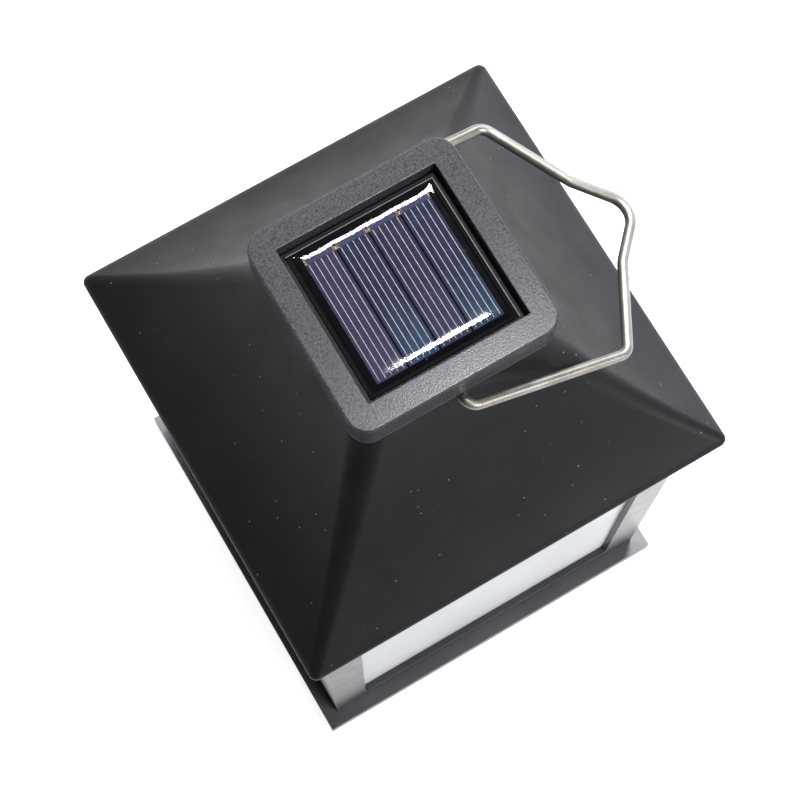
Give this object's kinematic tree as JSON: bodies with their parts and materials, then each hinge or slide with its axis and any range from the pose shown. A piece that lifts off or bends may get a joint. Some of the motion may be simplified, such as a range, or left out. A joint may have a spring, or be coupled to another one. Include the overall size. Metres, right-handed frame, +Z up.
{
  "type": "solar lantern",
  "caption": "Square lantern with a flared hipped roof, frosted side panels, a solar panel on top and a folding wire handle.",
  "frame": {"origin": "on the ground, at the centre of the square rim the lantern stands on", "axes": "+Z up along the lantern's axis; X and Y square to the body's sides, the handle folded towards +X, its pivot along Y"},
  "size_m": [0.1468, 0.14, 0.229],
  "materials": {
    "base_plastic": "satin",
    "frame_plastic": "satin",
    "frosted_panel": "frosted",
    "roof_plastic": "matte",
    "bezel_plastic": "fine spark grain",
    "tray_plastic": "satin",
    "stainless_wire": "polished",
    "screw_steel": "zinc plated",
    "sealant": "gloss",
    "board_laminate": "matte",
    "silicon_cell": "gloss",
    "copper_ribbon": "satin",
    "clear_resin": "gloss",
    "lead_red": "satin",
    "circuit_green": "gloss",
    "black_epoxy": "matte",
    "ferrite": "matte",
    "led_epoxy": "gloss",
    "switch_metal": "plated",
    "knob_plastic": "matte",
    "battery_wrap": "gloss",
    "contact_nickel": "nickel plated"
  },
  "bodies": {
    "lantern": {"base_plate": "base_plastic", "base_screws": "screw_steel", "body_frame": "frame_plastic", "panel_front": "frosted_panel", "panel_right": "frosted_panel", "panel_back": "frosted_panel", "panel_left": "frosted_panel", "top_ring": "frame_plastic", "ring_screws": "screw_steel", "roof": "roof_plastic", "roof_screws": "screw_steel"},
    "handle": {"wire_handle": "stainless_wire"},
    "solar_unit": {"bezel_cover": "bezel_plastic", "housing_tray": "tray_plastic", "bezel_screws": "screw_steel", "panel_sealant": "sealant", "panel_board": "board_laminate", "solar_cell_1": "silicon_cell", "solar_cell_2": "silicon_cell", "solar_cell_3": "silicon_cell", "solar_cell_4": "silicon_cell", "cell_ribbons": "copper_ribbon", "resin_dome": "clear_resin", "panel_leads": "lead_red", "circuit_board": "circuit_green", "board_screws": "screw_steel", "driver_chip": "black_epoxy", "inductor": "ferrite", "led_lamp": "led_epoxy", "switch_body": "switch_metal", "battery_cell": "battery_wrap", "contact_spring": "contact_nickel", "contact_plate": "contact_nickel", "battery_leads": "lead_red"},
    "switch_knob_body": {"switch_knob": "knob_plastic"},
    "battery_door_body": {"battery_door": "tray_plastic"}
  },
  "joints": [
    {"name": "handle_fold", "type": "hinge", "parent": "lantern", "child": "handle", "pos_m": [0, 0, 0.21425], "axis": [0, -1, 0], "range_deg": [0, 224]},
    {"name": "unit_lift", "type": "slide", "parent": "lantern", "child": "solar_unit", "axis": [0, 0, 1], "range_m": [0, 0.032]},
    {"name": "switch_slide", "type": "slide", "parent": "solar_unit", "child": "switch_knob_body", "axis": [1, 0, 0], "range_m": [0, 0.002]},
    {"name": "door_drop", "type": "slide", "parent": "solar_unit", "child": "battery_door_body", "axis": [0, 0, -1], "range_m": [0, 0.012]}
  ]
}
